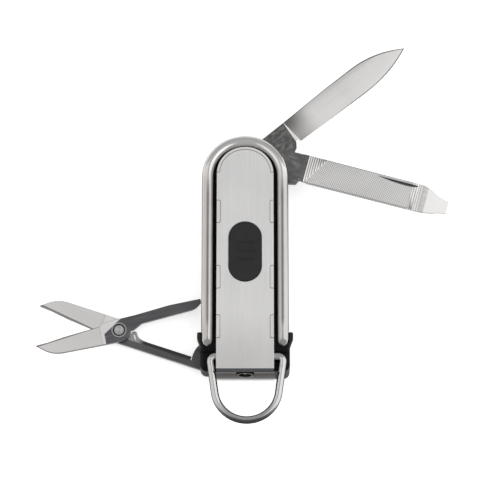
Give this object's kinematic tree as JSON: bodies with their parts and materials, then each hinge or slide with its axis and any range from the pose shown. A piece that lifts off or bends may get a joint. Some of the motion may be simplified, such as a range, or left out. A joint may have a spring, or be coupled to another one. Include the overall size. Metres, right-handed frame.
{
  "type": "multi tool",
  "caption": "Flat key-ring multi tool with a knife blade, a nail file, folding scissors and a push-button light in a round-bar frame.",
  "frame": {"origin": "middle of the flat back face, on the surface that the tool lies on", "axes": "+Z through the tool's thickness towards the front cover, +Y to the round end, +X to the side where the blade and file open"},
  "size_m": [0.1022, 0.0996, 0.0117],
  "materials": {
    "brushed_cover": "brushed lengthwise",
    "plate_steel": "satin sheet",
    "satin_bar": "satin round bar",
    "bright_wire": "polished",
    "black_moulding": "fine texture",
    "button_rubber": "matte",
    "blade_steel": "satin ground",
    "file_steel": "cut and cross-cut",
    "scissor_steel": "ground blades, dark arms",
    "spring_steel": "plain",
    "pin_steel": "turned",
    "cell_steel": "nickel plated",
    "contact_brass": "plain",
    "board_laminate": "solder mask",
    "lamp_clear": "clear"
  },
  "bodies": {
    "handle": {"back_plate": "plate_steel", "rear_liner": "plate_steel", "middle_liner": "plate_steel", "chassis": "black_moulding", "wire_frame": "satin_bar", "box_walls": "plate_steel", "cover_plate": "brushed_cover", "dome_switch": "contact_brass", "circuit_board": "board_laminate", "coin_cell": "cell_steel", "cell_clip": "contact_brass", "lamp": "lamp_clear", "lamp_leads": "cell_steel", "lamp_bezel": "bright_wire", "blade_backspring": "spring_steel", "file_backspring": "spring_steel", "scissors_backspring": "spring_steel", "tool_pin": "pin_steel", "scissors_pin": "pin_steel", "top_pin": "pin_steel", "tool_spring_pin": "pin_steel", "scissors_spring_pin": "pin_steel", "end_screw": "pin_steel"},
    "blade": {"knife_blade": "blade_steel"},
    "file": {"nail_file": "file_steel"},
    "scissors": {"scissors_fixed_half": "scissor_steel", "scissors_rivet": "pin_steel", "scissors_leaf_spring": "spring_steel"},
    "scissors_lever": {"scissors_moving_half": "scissor_steel"},
    "ring": {"key_ring": "bright_wire"},
    "push_button": {"button": "button_rubber"}
  },
  "joints": [
    {"name": "blade_hinge", "type": "hinge", "parent": "handle", "child": "blade", "pos_m": [0.0036, 0.02315, 0.004], "axis": [0, 0, 1], "range_deg": [-128.9, 51.1]},
    {"name": "file_hinge", "type": "hinge", "parent": "handle", "child": "file", "pos_m": [0.0036, 0.02315, 0.006], "axis": [0, 0, 1], "range_deg": [-74.9, 105.1]},
    {"name": "scissors_fold", "type": "hinge", "parent": "handle", "child": "scissors", "pos_m": [-0.0065, -0.0265, 0.0015], "axis": [0, 0, 1], "range_deg": [-71.4, 18.6]},
    {"name": "scissors_squeeze", "type": "hinge", "parent": "scissors", "child": "scissors_lever", "pos_m": [-0.03105, -0.01824, 0.0025], "axis": [0, 0, 1], "range_deg": [-28, 0], "stiffness_Nm_per_rad": 0.05},
    {"name": "ring_hinge", "type": "hinge", "parent": "handle", "child": "ring", "pos_m": [0, -0.02675, 0.00923], "axis": [-1, 0, 0], "range_deg": [0, 130]},
    {"name": "button_press", "type": "slide", "parent": "handle", "child": "push_button", "axis": [0, 0, -1], "range_m": [0, 0.0005], "stiffness_N_per_m": 1500}
  ]
}
